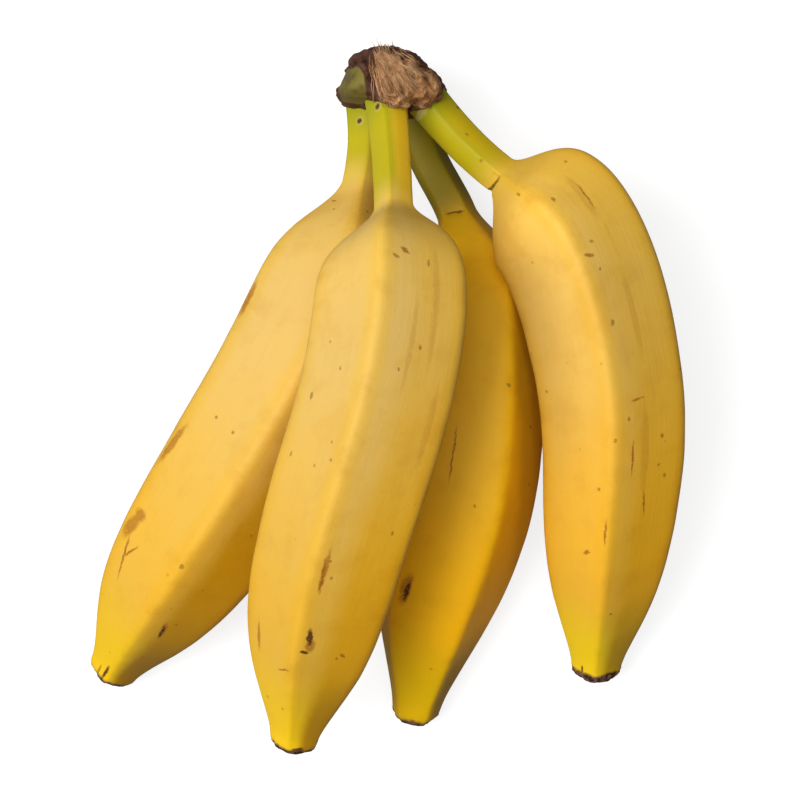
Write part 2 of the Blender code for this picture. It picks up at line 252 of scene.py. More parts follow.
FIBRES = 300
FIBRE_POINTS = 9
FIBRE_SIDES = 4
FIBRE_SEED = 71
FIBRE_CROWDING = (2.2, 2.0)         # of a beta distribution across the hollow
FIBRE_ROOTS_ACROSS = (-0.0046, 0.0026)
FIBRE_ROOTS_ALONG = (0.0020, 0.0082)
FIBRE_LENGTHS = (0.0025, 0.0095)
FIBRE_RADII = (0.00005, 0.00011)
FIBRE_LIFTS = (0.0001, 0.0005)
FIBRE_RISE = 0.0028                 # times the distance from the held part, to the power below
FIBRE_RISE_POWER = 1.5
FIBRE_HELD = 0.3                    # share of a fibre's length where it lies closest
FIBRE_HEADINGS = (-1.30, 0.50)      # at the left, and how much more at the right
FIBRE_TANGLE = 0.15
FIBRE_BEND = (0.18, 0.45)           # mean and spread
FIBRE_TAPER = (0.12, 0.80)          # part of a sine arch that its thickness follows
STRAYS = 0.10                       # share of the fibres that lie any way
STRAY_HEADING = 2.6
STRAY_LENGTH = 0.45

RANDOM_VALUES = 4096                # behind the lumps
LATTICE_PRIMES = (73856093, 19349663, 83492791)

# Random patterns in the finishes: repeats per metre, octaves, roughness
BROAD = (38.0, 3.0, 0.5)
BLOTCHES = (75.0, 4.0, 0.62)
MEDIUM = (130.0, 4.0, 0.6)
FRAY = (700.0, 3.0, 0.6)
CRUST = (900.0, 4.0, 0.5)
PORES = (1500.0, 3.0, 0.6)
FINE = (2200.0, 3.0, 0.6)
STREAKS = (1.0, 3.0, 0.6)
STREAK_SCALE = (900.0, 60.0, 1.0)
TORN_GRAIN = (1100.0, 5.0, 0.65)
TORN_GRAIN_SCALE = (1.0, 0.35, 0.6)
CORK_BROAD = (260.0, 4.0, 0.6)
CORK_GREEN = (420.0, 4.0, 0.5)
CORK_FINE = (1500.0, 4.0, 0.65)
SPECK_CELLS = 260.0
PINHOLE_CELLS = 650.0
PEEL_BUMP = 0.00012                 # height of the fine relief in the finishes
CORK_BUMP = 0.0005

# Bands in which one part of the peel's colour passes into the next, from the neck unless it says otherwise
STEM_BAND = (0.008, -0.004)
# Band of painted light on the shoulder
SHOULDER_LIGHT_BAND = (0.040, 0.008)
STALK_SHADE_BAND = (0.014, -0.006)
ROOT_BAND = (0.018, 0.004)          # from the root
TIP_BAND = (-0.030, -0.008)         # from the tip
BODY_BAND = (0.38, 0.90)            # in shares of the fruit's length
LOWER_BAND = (0.35, 0.75)           # the same
SUNNY_BAND = (-0.002, 0.007)        # arc round the stalk
SIDE_SOFTNESS = 0.009
FRAYED_BY = 0.0012                  # by which a mark's edge strays
MARK_EDGE = (1.25, 0.55)            # where it starts and where it is full, in shares of its half sizes

# Tints of the peel, several of them painted light and shade
RIPE_PATCH = (1.10, 1.02, 0.80)
DULL_PATCH = (0.90, 0.84, 0.72)
DULL_BLOTCH = (0.89, 0.84, 0.72)
DULL_STREAK = (0.90, 0.85, 0.75)
# Painted shade along the ridges
RIDGE_SHADE_TINT = (1.0, 0.94, 0.45)
# Painted light on the shoulder below the neck
SHOULDER_LIGHT_TINT = (1.16, 1.12, 0.85)
# Painted shade on the tip's side away from the light
PAINTED_TIP_SHADE = (0.52, 0.46, 0.10)
# How marks are painted, one layer on another: their kinds, the setting with their colour, and how strongly
# The crease layer is painted shade in the folds at the neck
MARK_LAYERS = [(("smear",), "bruise", 0.22), (("pale", "ring"), "torn", 0.42), (("bruise",), "bruise", 0.70),
               (("scratch",), "bruise", 0.85), (("dot",), "scab", 0.55), (("crease",), "scab", 0.85),
               (("scab", "hole"), "scab", 0.95)]
RED_CRUST = (0.19, 0.085, 0.05)
DARK_GREEN = (0.12, 0.085, 0.025)
PINHOLE = (0.03, 0.02, 0.01)

TABLE_HALF = 3.0
KEY_LIGHT = ((-1.45, 0.0, 2.4), 1.8)    # place and size
TOP_LIGHT = ((-0.15, 0.15, 2.2), 1.5)
CAMERA_OVER = (0.0038, -0.0003)


# ---------------------------------------------------------------- shapes

def natural_spline(knots, values, at):
    """Smooth curve through the values: a cubic between each two knots, with equal bend where they meet."""
    count = len(knots)
    step = np.diff(knots)
    system = np.eye(count)
    bend = np.zeros_like(values)
    for i in range(1, count - 1):
        system[i, i - 1:i + 2] = step[i - 1], 2 * (step[i - 1] + step[i]), step[i]
        bend[i] = 6 * ((values[i + 1] - values[i]) / step[i] - (values[i] - values[i - 1]) / step[i - 1])
    curve = np.linalg.solve(system, bend)
    i = np.clip(np.searchsorted(knots, at, side="right") - 1, 0, count - 2)
    width = step[i][:, None]
    left = (at - knots[i])[:, None]
    right = width - left
    arcs = (curve[i] * right ** 3 + curve[i + 1] * left ** 3) / (6 * width)
    chords = (values[i] / width - curve[i] * width / 6) * right
    return arcs + chords + (values[i + 1] / width - curve[i + 1] * width / 6) * left


def lumps(points, size, seed):
    """Random relief from -1 to 1 with lumps of this size: a random value at each corner of a cubic lattice,
    and between the corners their mean, weighted by an eased distance along each axis."""
    table = np.random.default_rng(seed).uniform(-1, 1, RANDOM_VALUES)
    place = points / size
    cell = np.floor(place).astype(np.int64)
    part = place - cell
    ease = part * part * (3 - 2 * part)
    total = np.zeros(points.shape[:-1])
    for corner in product((0, 1), repeat=3):
        at = cell + np.array(corner)
        across, along, height = (at[..., k] * LATTICE_PRIMES[k] for k in range(3))
        key = (across ^ along ^ height) % RANDOM_VALUES
        total += table[key] * np.where(np.array(corner), ease, 1 - ease).prod(axis=-1)
    return total


def layered(points, layers, seed):
    """Sum of several sets of lumps, each with its height, its size and a seed of its own."""
    return sum(height * lumps(points, size, seed + i) for i, (height, size) in enumerate(layers))


def eased(value, low, high):
    """0 below low, 1 above high, and a smooth S between them."""
    share = np.clip((value - low) / (high - low), 0, 1)
    return share * share * (3 - 2 * share)


def smooth_mesh(name, corners, faces, **attributes):
    """Smooth-shaded mesh of these corners and faces, with a number at each corner for each attribute."""
    mesh = bpy.data.meshes.new(name)
    mesh.from_pydata(corners.tolist(), [], faces)
    mesh.polygons.foreach_set("use_smooth", np.ones(len(faces), bool))
    for label, values in attributes.items():
        layer = mesh.attributes.new(name=label, type="FLOAT", domain="POINT")
        layer.data.foreach_set("value", values.astype(np.float32))
    mesh.update()
    return mesh


def grid_mesh(name, points, uv=None, **attributes):
    """Closed mesh of a grid of rings, with each end ring joined to its middle. Columns wrap round."""
    rows, columns = points.shape[:2]
    corners = np.concatenate([points.reshape(-1, 3), points[[0, -1]].mean(axis=1)])
    row, column = np.meshgrid(np.arange(rows - 1), np.arange(columns), indexing="ij")
    after = (column + 1) % columns
    quads = np.stack([row * columns + column, row * columns + after,
                      (row + 1) * columns + after, (row + 1) * columns + column], axis=-1).reshape(-1, 4)
    ring = np.arange(columns)
    next_one = (ring + 1) % columns
    first = np.stack([np.full(columns, rows * columns), next_one, ring], axis=-1)
    last = (rows - 1) * columns
    final = np.stack([np.full(columns, rows * columns + 1), last + ring, last + next_one], axis=-1)
    a, b, c = (corners[quads[:, k]] for k in (0, 1, 2))
    outward = np.einsum("ij,ij->i", a, np.cross(b, c)).sum() > 0
    turn = slice(None) if outward else slice(None, None, -1)
    faces = quads[:, turn].tolist() + first[:, turn].tolist() + final[:, turn].tolist()
    at_corners = {label: np.concatenate([values.ravel(), values[[0, -1]].mean(axis=1)])
                  for label, values in attributes.items()}
    mesh = smooth_mesh(name, corners, faces, **at_corners)
    if uv is not None:
        # uv holds one column more than the grid, so that the last cell doesn't run backwards
        cells = [uv[row, column], uv[row, column + 1], uv[row + 1, column + 1], uv[row + 1, column]]
        cells = np.stack(cells, axis=-2).reshape(-1, 4, 2)
        start = np.stack([uv[0, ring], uv[0, ring + 1], uv[0, ring]], axis=1)
        end = np.stack([uv[-1, ring], uv[-1, ring], uv[-1, ring + 1]], axis=1)
        flat = np.concatenate([part[:, turn].reshape(-1, 2) for part in (cells, start, end)])
        mesh.uv_layers.new(name="skin").data.foreach_set("uv", flat.astype(np.float32).ravel())
    return mesh


def add_piece(name, mesh, finish, slot, *nodes):
    """Puts a piece into the scene, on the frame's body, in place of these nodes."""
    mesh.materials.append(finish)
    piece = bpy.data.objects.new(name, mesh)
    bpy.context.scene.collection.objects.link(piece)
    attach(piece, BODY)
    if nodes:
        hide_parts(*nodes)


def fruit_path(fruit):
    """Points of the path in metres. The settle moves the body, and a growing share of it the stalk."""
    points = np.array(fruit["path"], float) * MM
    points[:, 1] *= -1
    reach = np.clip(-points[:, 1] / STALK_LENGTH, 0, 1)[:, None]
    return points + reach * np.array(fruit["settle_mm"]) * MM


def fruit_line(fruit):
    """Fine points along the middle of the fruit, their distances from the root, and the neck's distance."""
    points = fruit_path(fruit)
    root_way = (points[1] - points[0]) / np.linalg.norm(points[1] - points[0])
    points[0] -= root_way * SOCKET_DEPTH
    chord = np.concatenate([[0.0], np.cumsum(np.linalg.norm(np.diff(points, axis=0), axis=1))])
    fine = natural_spline(chord, points, np.linspace(0, chord[-1], CURVE_STEPS))
    run = np.concatenate([[0.0], np.cumsum(np.linalg.norm(np.diff(fine, axis=0), axis=1))])
    neck = run[np.argmin(np.linalg.norm(fine - points[NECK], axis=1))]
    return fine, run, neck


def fruit_radius(fruit, at, length, neck):
    """Mean radius at each distance: stalk, then a swelling shoulder, a belly that slims, and a bottle neck.
    The rise and the fall are each 1 - exp(-(share / reach) ^ power), and the tip's end is rounded."""
    stalk, tip = STALK_WIDTH / 2, TIP_WIDTH / 2
    body = np.clip((at - neck) / (length - neck), 0, 1)
    belly = FRUIT_WIDTH / 2 * fruit["girth"] * (1 - fruit["slim"] * body)
    rise = 1 - np.exp(-(body / fruit["shoulder"]) ** SHOULDER_POWER)
    before_tip = np.clip(1 - TIP_SHARE - body, 0, 1)
    fall = 1 - np.exp(-(before_tip / fruit["taper"]) ** TAPER_POWER)
    flare = STALK_FLARE / 2 * np.exp(-at / STALK_WIDTH)
    swollen = stalk + flare + (belly - stalk) * rise
    closing = 1 - np.clip((length - at) / TIP_ROUNDING, 0, 1)
    return (tip + (swollen - tip) * fall) * np.sqrt(1 - TIP_CLOSING * closing ** TIP_POWER)


def five_sided(angles, roll):
    """Radius of a rounded pentagon with a mean of one: the reciprocal power mean of its face distances."""
    faces = math.radians(roll) + 2 * math.pi * (np.arange(SIDES) + 0.5) / SIDES
    toward = np.maximum(np.cos(angles[:, None] - faces), 0) ** RIDGE_SHARPNESS
    outline = toward.sum(axis=1) ** (-1 / RIDGE_SHARPNESS)
    return outline / outline.mean()


def bunch_home():
    """How far the bunch moves so that the back fruit lies where the frame has it: from the middle of its own
    box to the middle of the frame's."""
    low, high = (np.array(corner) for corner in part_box("banana_back"))
    own = fruit_skin(FRUIT["banana_back"])["plain"].reshape(-1, 3)
    return (low + high) / 2 - (own.min(axis=0) + own.max(axis=0)) / 2


def square_to(way):
    """The way made one long, and its level side and upward directions, for a section carried along it."""
    way = way / np.linalg.norm(way, axis=-1, keepdims=True)
    side = np.cross(way, [0.0, 0.0, 1.0])
    side /= np.linalg.norm(side, axis=-1, keepdims=True)
    return side, np.cross(side, way), way


def neck_fold(fruit, plain, at, angles):
    """Depth of the fold at the neck: a bell curve across a wavering line round part of the fruit."""
    if not fruit["crease_mm"]:
        return 0.0
    place, middle, half, slope, depth = fruit["crease_mm"]
    arc = angles * FRUIT_WIDTH / 2 / MM - middle
    off = at[:, None] / MM - place - slope * arc - layered(plain, CREASE_LUMPS_MM, fruit["seed"] + 6)
    return depth * MM * np.exp(-(off / CREASE_WIDTH_MM) ** 2) * eased(half - np.abs(arc), 0.0, CREASE_FADE_MM)


def fruit_skin(fruit):
    """The skin as a grid: the rounded pentagon times the radius, set square to the path at each row, with a
    little relief. Distance along and arc round the belly go with each point."""
    fine, run, neck = fruit_line(fruit)
    length, seed = run[-1], fruit["seed"]
    even = np.linspace(0, 1, ROWS)
    at = length * (even + ((1 - np.cos(math.pi * even)) / 2 - even) * END_CROWDING)
    centres = np.stack([np.interp(at, run, fine[:, k]) for k in range(3)], axis=1)
    side, up, way = square_to(np.gradient(centres, at, axis=0))
    # Angles run from under the fruit all the way round, and are positive toward +X
    angles = np.linspace(-math.pi, math.pi, COLUMNS, endpoint=False)
    ridged = five_sided(angles, fruit["roll"])
    edge = np.interp(at / length, RIDGE_PLACES, RIDGE_STRENGTHS)
    radius = fruit_radius(fruit, at, length, neck)[:, None] * (1 + (ridged - 1) * edge[:, None])
    # Rings that close the blossom end
    shrink = np.linspace(1, 0, CAP_ROWS + 1)[1:-1, None] ** CAP_ROUNDNESS
    radius = np.concatenate([radius, radius[-1] * shrink])
    grow = len(radius) - ROWS
    centres, side, up, way = (np.concatenate([x, np.repeat(x[-1:], grow, axis=0)])
                              for x in (centres, side, up, way))
    at = np.concatenate([at, np.full(grow, length)])
    cap = np.concatenate([np.zeros(ROWS), np.linspace(0, 1, grow)])
    outward = -np.sin(angles)[:, None] * side[:, None] + np.cos(angles)[:, None] * up[:, None]
    plain = centres[:, None] + radius[..., None] * outward
    relief = layered(plain, PEEL_LUMPS, seed) * eased(at, *RELIEF_STARTS)[:, None]
    relief -= neck_fold(fruit, plain, at, angles)
    rim = length - fruit["scar_mm"] * MM
    ragged = layered(plain, SCAR_RIM_LUMPS, seed + 2)
    scar = eased(at[:, None] + ragged, rim + SCAR_RIM[0], rim + SCAR_RIM[1])
    relief = relief * (1 - scar) + scar * layered(plain, SCAR_LUMPS, seed + 3)
    points = plain + relief[..., None] * outward
    crumbled = scar * (cap[:, None] > 0) * layered(plain, SCAR_END_LUMPS, seed + 5)
    points += crumbled[..., None] * way[:, None]
    ridge = (ridged - ridged.min()) / (ridged.max() - ridged.min())
    wide = np.linspace(-math.pi, math.pi, COLUMNS + 1) * FRUIT_WIDTH / 2
    uv = np.stack(np.broadcast_arrays(wide[None], (at + cap * CAP_LENGTH)[:, None]), axis=-1)
    return dict(plain=plain, points=points, uv=uv, ridge=ridge * np.ones_like(radius), scar=scar,
                length=length, neck=neck)


def crown_frame():
    """Middle of the crown's outline and its lowest and highest level, from the frame."""
    low, high = (np.array(corner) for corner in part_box("crown"))
    outline = np.array(CROWN_OUTLINE_MM) * MM
    middle = (low[:2] + high[:2]) / 2 - (outline.min(axis=0) + outline.max(axis=0)) / 2
    centre = np.append(middle + outline.mean(axis=0), (low[2] + high[2]) / 2)
    return centre, (high[2] - low[2]) / 2


def crown_reach(angles):
    """Distance of the outline from its middle in each direction: a smooth closed curve through its points."""
    outline = np.array(CROWN_OUTLINE_MM) * MM
    outline = outline - outline.mean(axis=0)
    turns = np.concatenate([outline, outline, outline, outline[:1]])
    knots = np.arange(len(turns), dtype=float)
    curve = natural_spline(knots, turns, np.linspace(len(outline), 2 * len(outline), OUTLINE_STEPS))
    reach = np.hypot(curve[:, 0], curve[:, 1]) - BARK_RELIEF
    return np.interp(angles, np.arctan2(curve[:, 1], curve[:, 0]), reach, period=2 * math.pi)


def within(points, centre, place, edge, ragged=0.0, power=2):
    """1 inside a leaning oval seen from above, and 0 outside. The distance from its middle is the power sum
    of the shares of its half width and half height. The edge gives where it starts and where it is full."""
    across, along, half_width, half_height, lean = place
    turn = math.radians(lean)
    x = points[..., 0] - centre[0] - across * MM
    y = points[..., 1] - centre[1] - along * MM
    wide = np.abs(x * math.cos(turn) + y * math.sin(turn)) / (half_width * MM)
    high = np.abs(y * math.cos(turn) - x * math.sin(turn)) / (half_height * MM)
    distance = (wide ** power + high ** power) ** (1 / power) + ragged
    return eased(-distance, -edge[0], -edge[1])


def smooth_side(points, centre):
    """1 on the smooth cut side and 0 off it."""
    ragged = layered(points, SMOOTH_SIDE_LUMPS, 8)
    side = within(points, centre, SMOOTH_SIDE_MM, SMOOTH_SIDE_EDGE, ragged, SMOOTH_SIDE_POWER)
    return side * eased(points[..., 2] - centre[2], *SMOOTH_SIDE_BAND)


def crown_relief(points, centre):
    """Moves points of the plain lump out or in: broad lumps, grain along the tear, pits, a lip over the
    stalks, and a smooth cut side that lies a little deeper."""
    way = points - centre
    way /= np.maximum(np.linalg.norm(way, axis=-1, keepdims=True), 1e-9)
    x, y, z = (points[..., k] for k in range(3))
    grain = np.stack([x * GRAIN_ACROSS[0] + y * GRAIN_ACROSS[1],
                      (y * GRAIN_ACROSS[0] - x * GRAIN_ACROSS[1]) * GRAIN_DRAWN_OUT[0],
                      z * GRAIN_DRAWN_OUT[1]], axis=-1)
    top = eased(z - centre[2], *TOP_RELIEF_BAND)
    height = layered(points, CROWN_LUMPS, 3) + layered(points, CRUMB_LUMPS, 6)
    height += layered(grain, GRAIN_LUMPS, 5) * (GRAIN_ON_SIDES + (1 - GRAIN_ON_SIDES) * top)
    height -= PIT_DEPTH * eased(layered(points, PIT_LUMPS, 7), *PIT_EDGE) * top
    for place in DEEP_PARTS_MM:
        height -= DEEP_PART_DEPTH * within(points, centre, place, DEEP_RELIEF_EDGE) * top
    smooth = smooth_side(points, centre)
    height = height * (1 - smooth) - SMOOTH_SIDE_DEPTH * smooth
    lip = within(points, centre, LIP_PLACE_MM, LIP_PLACE_EDGE) * top
    points = points + way * height[..., None]
    points[..., 2] = np.maximum(points[..., 2] + LIP_RISE * lip, CROWN_LOWEST)
    points[..., 1] -= LIP_FORWARD * lip
    return points


def crown_skin():
    """The crown as a grid: its outline on rounded levels, from the pole under it to the pole on its face. How
    far each point is on each part of the face goes with it."""
    centre, half = crown_frame()
    angles = np.linspace(-math.pi, math.pi, CROWN_COLUMNS, endpoint=False)
    lift = np.linspace(-0.5, 0.5, CROWN_ROWS + 2)[1:-1] * math.pi
    size = np.cos(lift) ** CROWN_SQUARENESS
    level = np.sign(lift) * np.abs(np.sin(lift)) ** CROWN_SQUARENESS
    flat = size[:, None] * crown_reach(angles)
    points = np.stack([centre[0] + flat * np.cos(angles), centre[1] + flat * np.sin(angles),
                       centre[2] + half * level[:, None] * np.ones_like(flat)], axis=-1)
    wander = np.stack([lumps(points, COLOUR_WANDER_SIZE, seed) for seed in (12, 13, 14)], axis=-1)
    wavy = points + COLOUR_WANDER * wander
    top = eased(points[..., 2] - centre[2], *TOP_COLOUR_BAND)
    # Painted shade in the deep hollows of the face
    deep_shade = np.max([within(wavy, centre, place, DEEP_SHADE_EDGE) for place in DEEP_PARTS_MM], axis=0)
    face = within(wavy, centre, TORN_FACE_MM, TORN_FACE_EDGE)
    lip = within(wavy, centre, LOWER_LIP_MM, LOWER_LIP_EDGE)
    parts = dict(cut=smooth_side(points, centre), face=face * top, deep_shade=deep_shade * top, lip=lip * top)
    return crown_relief(points, centre), parts


def on_crown_top(across, along, lift):
    """Points on the crown's face at these distances from its middle, this far above it."""
    centre, half = crown_frame()
    share = np.hypot(across, along) / crown_reach(np.arctan2(along, across))
    share = np.clip(share, 0, 0.999)
    level = np.sin(np.arccos(share ** (1 / CROWN_SQUARENESS))) ** CROWN_SQUARENESS
    points = np.stack([centre[0] + across, centre[1] + along, centre[2] + half * level], axis=-1)
    way = (points - centre) / np.linalg.norm(points - centre, axis=-1, keepdims=True)
    return crown_relief(points, centre) + way * lift[..., None]


def fibre_lines(rng):
    """Line of each fibre, from a place in the torn hollow, over the face and off it at its free end."""
    share = np.linspace(0, 1, FIBRE_POINTS)
    rightward = rng.beta(*FIBRE_CROWDING, FIBRES)
    left, right = FIBRE_ROOTS_ACROSS
    start = np.stack([left + (right - left) * rightward, rng.uniform(*FIBRE_ROOTS_ALONG, FIBRES)], axis=1)
    stray = rng.uniform(0, 1, FIBRES) < STRAYS
    any_way = rng.uniform(-STRAY_HEADING, STRAY_HEADING, FIBRES)
    combed = FIBRE_HEADINGS[0] + FIBRE_HEADINGS[1] * rightward + rng.normal(0, FIBRE_TANGLE, FIBRES)
    heading = np.where(stray, any_way, combed)
    length = rng.uniform(*FIBRE_LENGTHS, FIBRES) * np.where(stray, STRAY_LENGTH, 1.0)
    bend = rng.normal(*FIBRE_BEND, FIBRES)
    turn = heading[:, None] + bend[:, None] * (share - 0.5)
    step = length[:, None] / (FIBRE_POINTS - 1)
    across = start[:, :1] + np.cumsum(np.cos(turn) * step, axis=1)
    along = start[:, 1:] + np.cumsum(np.sin(turn) * step, axis=1)
    lift = (rng.uniform(*FIBRE_LIFTS, FIBRES)[:, None]
            + rng.uniform(0, FIBRE_RISE, FIBRES)[:, None] * np.abs(share - FIBRE_HELD) ** FIBRE_RISE_POWER)
    radius = rng.uniform(*FIBRE_RADII, FIBRES)[:, None]
    radius = radius * np.sin(math.pi * (FIBRE_TAPER[0] + FIBRE_TAPER[1] * share))
    return on_crown_top(across, along, lift), radius


def fibre_mesh(name):
    """Loose fibres: thin tapered strands, each a square section carried along its line."""
    rng = np.random.default_rng(FIBRE_SEED)
    line, radius = fibre_lines(rng)
    side, up, _ = square_to(np.gradient(line, axis=1))
    corner = np.arange(FIBRE_SIDES) * 2 * math.pi / FIBRE_SIDES
    ring = np.cos(corner)[:, None] * side[:, :, None] + np.sin(corner)[:, None] * up[:, :, None]
    points = line[:, :, None] + ring * radius[..., None, None]
    per = FIBRE_POINTS * FIBRE_SIDES
    strand, row, k = np.meshgrid(np.arange(FIBRES), np.arange(FIBRE_POINTS - 1), np.arange(FIBRE_SIDES),
                                 indexing="ij")
    after = (k + 1) % FIBRE_SIDES
    base = strand * per + row * FIBRE_SIDES
    quads = np.stack([base + k, base + k + FIBRE_SIDES, base + after + FIBRE_SIDES, base + after], axis=-1)
    ends = np.arange(FIBRES)[:, None] * per + np.arange(FIBRE_SIDES)
    last = ends + per - FIBRE_SIDES
    faces = np.concatenate([quads.reshape(-1, 4), ends, last[:, ::-1]])
    tone = np.repeat(rng.uniform(0, 1, FIBRES), per)
    return smooth_mesh(name, points.reshape(-1, 3), faces.tolist(), tone=tone)


# ---------------------------------------------------------------- finishes

def screen(red, green, blue):
    """Linear colour of a display colour from 0 to 255."""
    share = np.array([red, green, blue]) / 255
    linear = np.where(share <= 0.04045, share / 12.92, ((share + 0.055) / 1.055) ** 2.4)
    return tuple(float(value) for value in linear)


class Signal:
    """One output in a finish. Arithmetic on it adds Math nodes."""

    def __init__(self, finish, socket):
        self.finish = finish
        self.socket = socket

    def math(self, operation, left, right):
        return self.finish.add("ShaderNodeMath", {"operation": operation}, {0: left, 1: right})

    def __add__(self, other):
        return self.math("ADD", self, other)

    def __radd__(self, other):
        return self.math("ADD", other, self)

    def __sub__(self, other):
        return self.math("SUBTRACT", self, other)

    def __rsub__(self, other):
        return self.math("SUBTRACT", other, self)

    def __mul__(self, other):
        return self.math("MULTIPLY", self, other)

    def __rmul__(self, other):
        return self.math("MULTIPLY", other, self)


class Finish:
    """A material and its nodes."""

    def __init__(self, name, **constants):
        self.material = bpy.data.materials.new(name)
        self.material.use_nodes = True
        self.tree = self.material.node_tree
        self.shader = self.tree.nodes["Principled BSDF"]
        for label, value in constants.items():
            self.shader.inputs[label.replace("_", " ")].default_value = value

    def add(self, kind, settings=None, sockets=None, output=0):
        """Adds a node: its settings first, then the values or links of its sockets. Gives one output."""
        node = self.tree.nodes.new(kind)
        for label, value in (settings or {}).items():
            setattr(node, label, value)
        for label, value in (sockets or {}).items():
            if isinstance(value, Signal):
                self.tree.links.new(value.socket, node.inputs[label])
            else:
                node.inputs[label].default_value = value
        return Signal(self, node.outputs[output])

    def feed(self, label, signal):
        self.tree.links.new(signal.socket, self.shader.inputs[label])

    def place(self):
        return self.add("ShaderNodeTexCoord", output="Object")

    def skin(self):
        return self.add("ShaderNodeUVMap", {"uv_map": "skin"})

    def attribute(self, name):
        return self.add("ShaderNodeAttribute", {"attribute_name": name}, output="Fac")

    def stretched(self, where, scale):
        return self.add("ShaderNodeMapping", None, {"Vector": where, "Scale": scale})

    def noise(self, where, scale, detail, roughness, output=0):
        sockets = {"Vector": where, "Scale": scale, "Detail": detail, "Roughness": roughness}
        return self.add("ShaderNodeTexNoise", None, sockets, output)

    def eased(self, value, low, high):
        """0 below low, 1 above high, and a smooth S between them. It falls instead if low is above high."""
        settings = {"interpolation_type": "SMOOTHSTEP"}
        if low > high:
            return self.add("ShaderNodeMapRange", settings, {0: value, 1: high, 2: low, 3: 1.0, 4: 0.0})
        return self.add("ShaderNodeMapRange", settings, {0: value, 1: low, 2: high, 3: 0.0, 4: 1.0})

    def mixed(self, below, above, share, blend="MIX"):
        """One colour over another, by the share from 0 to 1."""
        settings = {"data_type": "RGBA", "blend_type": blend}
        below, above = (c if isinstance(c, Signal) else (*c, 1.0) for c in (below, above))
        return self.add("ShaderNodeMix", settings, {0: share, 6: below, 7: above}, 2)

    def tinted(self, tone, tint, share=1.0):
        """A colour times a tint, by the share from 0 to 1."""
        return self.mixed(tone, tint, share, "MULTIPLY")

    def cells(self, where, scale, output=0):
        """Distance from the middle of each cell of a random pattern. Output 1 is its random colour."""
        sockets = {"Vector": where, "Scale": scale, "Randomness": 1.0}
        return self.add("ShaderNodeTexVoronoi", {"feature": "F1"}, sockets, output)

    def marked(self, skin, marks, kinds):
        """1 inside the marks of these kinds and 0 outside: for each, the distance from its middle in shares
        of its own half length and half width, and over them all the largest."""
        total = None
        for kind, along, around, half_length, half_width, lean in marks:
            if kind not in kinds:
                continue
            spot = self.add("ShaderNodeMapping", {"vector_type": "TEXTURE"}, {
                "Vector": skin, "Location": (around * MM, along * MM, 0.0),
                "Rotation": (0.0, 0.0, math.radians(lean)),
                "Scale": (half_width * MM, half_length * MM, 1.0)})
            reach = self.add("ShaderNodeVectorMath", {"operation": "LENGTH"}, {0: spot}, 1)
            inside = self.eased(reach, *MARK_EDGE)
            total = total.math("MAXIMUM", total, inside) if total else inside
        return total

    def bumped(self, height, distance, strength):
        sockets = {"Height": height, "Distance": distance, "Strength": strength}
        return self.add("ShaderNodeBump", None, sockets)


# ---------------------------------------------------------------- settings

def colour(name, description, value):
    return bpy.props.FloatVectorProperty(name=name, description=description, subtype="COLOR", size=3,
                                         min=0.0, max=1.0, default=value)


class PeelSettings(bpy.types.PropertyGroup):
    # Its pale, whitish yellow is partly the peel's own colour and partly a painted sheen
    shoulder: colour("Shoulder", "Peel near the neck", (0.75, 0.485, 0.140))
    belly: colour("Belly", "Peel of the lower half", (0.79, 0.445, 0.045))
    stalk: colour("Stalk", "Middle of the stalk", (0.52, 0.42, 0.010))
    root: colour("Root", "Stalk where it leaves the crown", (0.33, 0.34, 0.010))
    tip: colour("Tip", "Greenish peel at the blossom end", (0.94, 0.58, 0.002))
    warm: colour("Ripe stalk", "Sunny side of a stalk", (0.86, 0.53, 0.030))
    bruise: colour("Bruise", "Rubbed and bruised peel", screen(158, 92, 26))
    scab: colour("Scab", "Dry, torn marks", screen(84, 42, 18))
    torn: colour("Torn skin", "Pale edge where a stalk leaves the crown", screen(222, 204, 140))
    blossom: colour("Blossom end", "Dried remains of the flower", screen(46, 30, 18))
    roughness: bpy.props.FloatProperty(name="Roughness", description="Sheen of the waxy peel",
                                       default=0.46, min=0.0, max=1.0, subtype="FACTOR")


class CrownSettings(bpy.types.PropertyGroup):
    cork: colour("Cork", "Dry torn face", screen(176, 124, 78))
    # Random dark patches of cork, and painted shade in the deep hollows of the torn face
    dark_cork_and_shade: colour("Dark cork", "Deep parts and edges of the torn face", screen(86, 50, 28))
    fibre: colour("Fibres", "Loose strands", screen(216, 174, 126))
    green: colour("Green side", "Smooth living side", screen(120, 108, 42))
    purple: colour("Skin", "Dark skin round the green side", screen(98, 64, 54))


class StageSettings(bpy.types.PropertyGroup):
    floor: colour("Floor", "Matt table top", (0.30, 0.30, 0.30))
    glow: bpy.props.FloatProperty(name="Glow", description="Light that comes up through the table top",
                                  default=0.80, min=0.0)
    key: bpy.props.FloatProperty(name="Key light", description="Large soft light from the left",
                                 default=70.0, min=0.0, unit="POWER")
    top: bpy.props.FloatProperty(name="Top light", description="Soft light from above",
                                 default=22.0, min=0.0, unit="POWER")
    fill: bpy.props.FloatProperty(name="Fill", description="Even light from all round", default=0.09, min=0.0)
    distance: bpy.props.FloatProperty(name="Camera height", description="Camera above the table",
                                      default=0.8965, min=0.1, unit="LENGTH")
    lens: bpy.props.FloatProperty(name="Lens", description="Focal length", default=165.3, min=1.0,
                                  subtype="DISTANCE_CAMERA")


# ---------------------------------------------------------------- finishes of this object

def specks(finish, where):
    """1 on a few small specks: the middles of a cell pattern, where the cell's random value is high."""
    pick = finish.add("ShaderNodeSeparateColor", None, {0: finish.cells(where, SPECK_CELLS, 1)})
    return finish.eased(finish.cells(where, SPECK_CELLS), 0.16, 0.05) * finish.eased(pick, 0.86, 0.90)


